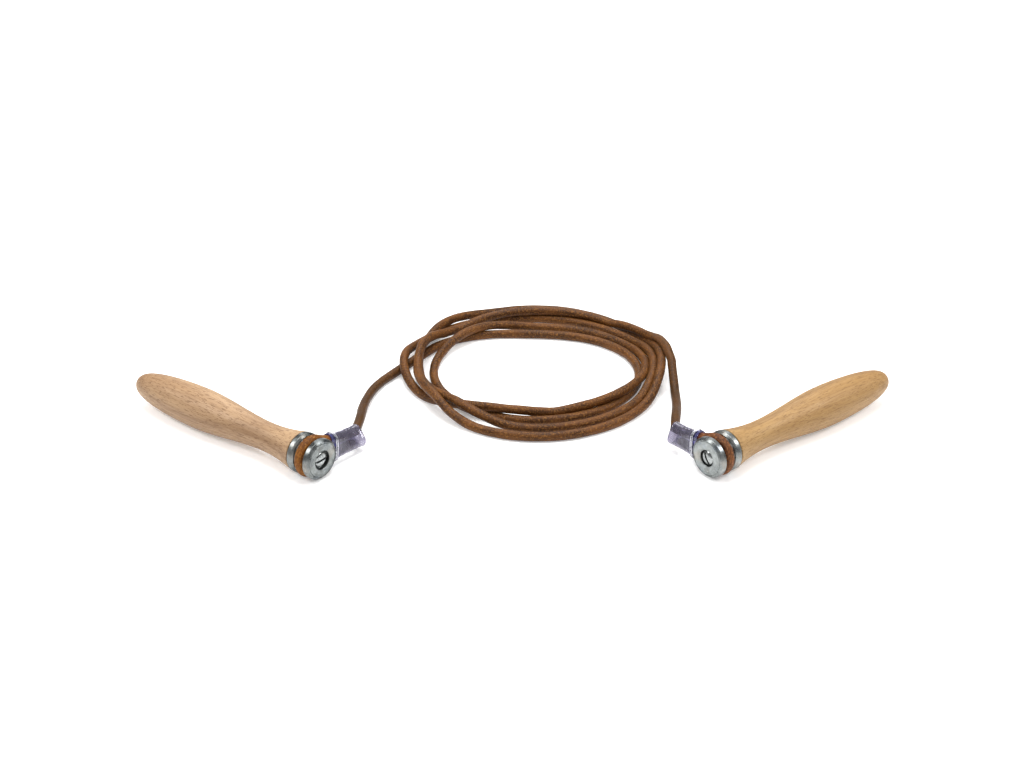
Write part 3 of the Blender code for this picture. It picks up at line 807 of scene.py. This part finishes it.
def vinylMaterial(side):
    # clear plasticised tube with a violet tint, slightly clouded and scuffed
    made, flow, shader = newMaterial(f"{side}ClearVinyl", {
        "Transmission Weight": 0.84, "IOR": 1.33, "Specular IOR Level": 0.6, "Coat Weight": 0.4,
        "Coat Roughness": 0.08})
    local = inHandle(flow, side)
    clouds = noise(flow, local, 240.0, 3.0, 0.5)
    scuffs = noise(flow, mapped(flow, local, scale=(0.2, 1, 1)), 1300.0, 3.0, 0.6)
    base = clouds.ramp(0.35, 0.65).blend((0.235, 0.215, 0.31), (0.35, 0.33, 0.44))
    fromEye = flow.add("ShaderNodeSeparateXYZ", {}, {"Vector": local}, out=0)
    base = fromEye.ramp(0.021, 0.016).blend(base, (0.20, 0.20, 0.52))
    base = (scuffs.ramp(0.56, 0.7) * 0.4).blend(base, (0.62, 0.61, 0.70))
    rough = clouds.ramp(0.3, 0.7, 0.06, 0.16) + scuffs.ramp(0.55, 0.75, 0.0, 0.15)
    height = clouds * 0.6 + scuffs * 0.3
    feed(flow, shader, colour=base, roughness=rough, normal=bump(flow, height, 0.25, 0.0003))
    return made


def repaint(node, finish):
    materials = frame["nodes"][node].data.materials
    materials.clear()
    materials.append(finish)


steelLooks = {
    "screw": {"dull": (0.21, 0.22, 0.22), "bright": (0.38, 0.40, 0.395), "gloss": 0.15},
    "wire": {"dull": (0.30, 0.30, 0.34), "bright": (0.66, 0.66, 0.70), "gloss": 0.2},
    "bearing": {"dull": (0.34, 0.34, 0.35), "bright": (0.62, 0.62, 0.63), "gloss": 0.20},
    "brass": {"dull": (0.50, 0.34, 0.12), "bright": (0.80, 0.60, 0.26), "gloss": 0.26},
}
steels = {name: steelMaterial(f"{name}Metal", steelLooks[name]) for name in ("wire", "bearing", "brass")}
print("materials mixed")

for side in sides:
    wood = finished(f"{side}_turned_grip", turned(gripOutline(), handleFrames[side], 144), woodMaterial(side))
    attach(wood, f"{side}_handle")
    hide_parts(f"{side}_grip")
    zinc = zincMaterial(side)
    recess = screwSettings["headRadius"] + headSettings["recessMargin"][side]
    for name, at, hole in (("front", 0.0, recess), ("back", headSettings["backFlangeAt"], None)):
        discMesh = turned(flangeOutline(at, hole), handleFrames[side], 160)
        disc = finished(f"{side}_{name}_disc", discMesh, zinc, 25)
        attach(disc, f"{side}_handle")
        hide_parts(f"{side}_{name}_flange")
    screwSteel = steelMaterial(f"{side}ScrewMetal", steelLooks["screw"], side)
    screw = finished(f"{side}_slotted_screw", screwMesh(side), screwSteel, 30)
    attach(screw, f"{side}_handle")
    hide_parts(f"{side}_axle_screw")
    eyeLeather = leatherMaterial(f"{side}EyeLeather", leatherLooks[side], side)
    eye = finished(f"{side}_leather_eye", eyeMesh(side), eyeLeather, 80)
    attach(eye, "rope")
    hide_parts(f"{side}_rope_eye")
    sleeve = finished(f"{side}_vinyl_sleeve", sleeveMesh(side), vinylMaterial(side), 50)
    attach(sleeve, "rope")
    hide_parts(f"{side}_clear_sleeve")
    tie = finished(f"{side}_twisted_tie", tieMesh(side), steels["wire"], 60)
    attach(tie, "rope")
    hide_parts(f"{side}_wire_tie")
    inside = [f"{side}_front_spacer", f"{side}_back_spacer", f"{side}_bearing_inner_ring",
              f"{side}_bearing_outer_ring"] + [f"{side}_ball_{k}" for k in range(1, 8)]
    for name in inside:
        repaint(name, steels["bearing"])
    repaint(f"{side}_ball_cage", steels["brass"])
    print(side, "handle built")


floorSettings = {"size": 30.0, "colour": (0.93, 0.93, 0.93, 1.0), "roughness": 0.16, "glow": 0.28}
bm = bmesh.new()
bmesh.ops.create_grid(bm, x_segments=1, y_segments=1, size=floorSettings["size"] / 2)
floorPaint, flow, shader = newMaterial("paleTable", {"Base Color": floorSettings["colour"],
                                                     "Roughness": floorSettings["roughness"],
                                                     "Emission Color": floorSettings["colour"],
                                                     "Emission Strength": floorSettings["glow"]})
floor = finished("table_top", bm, floorPaint)
print("table laid")
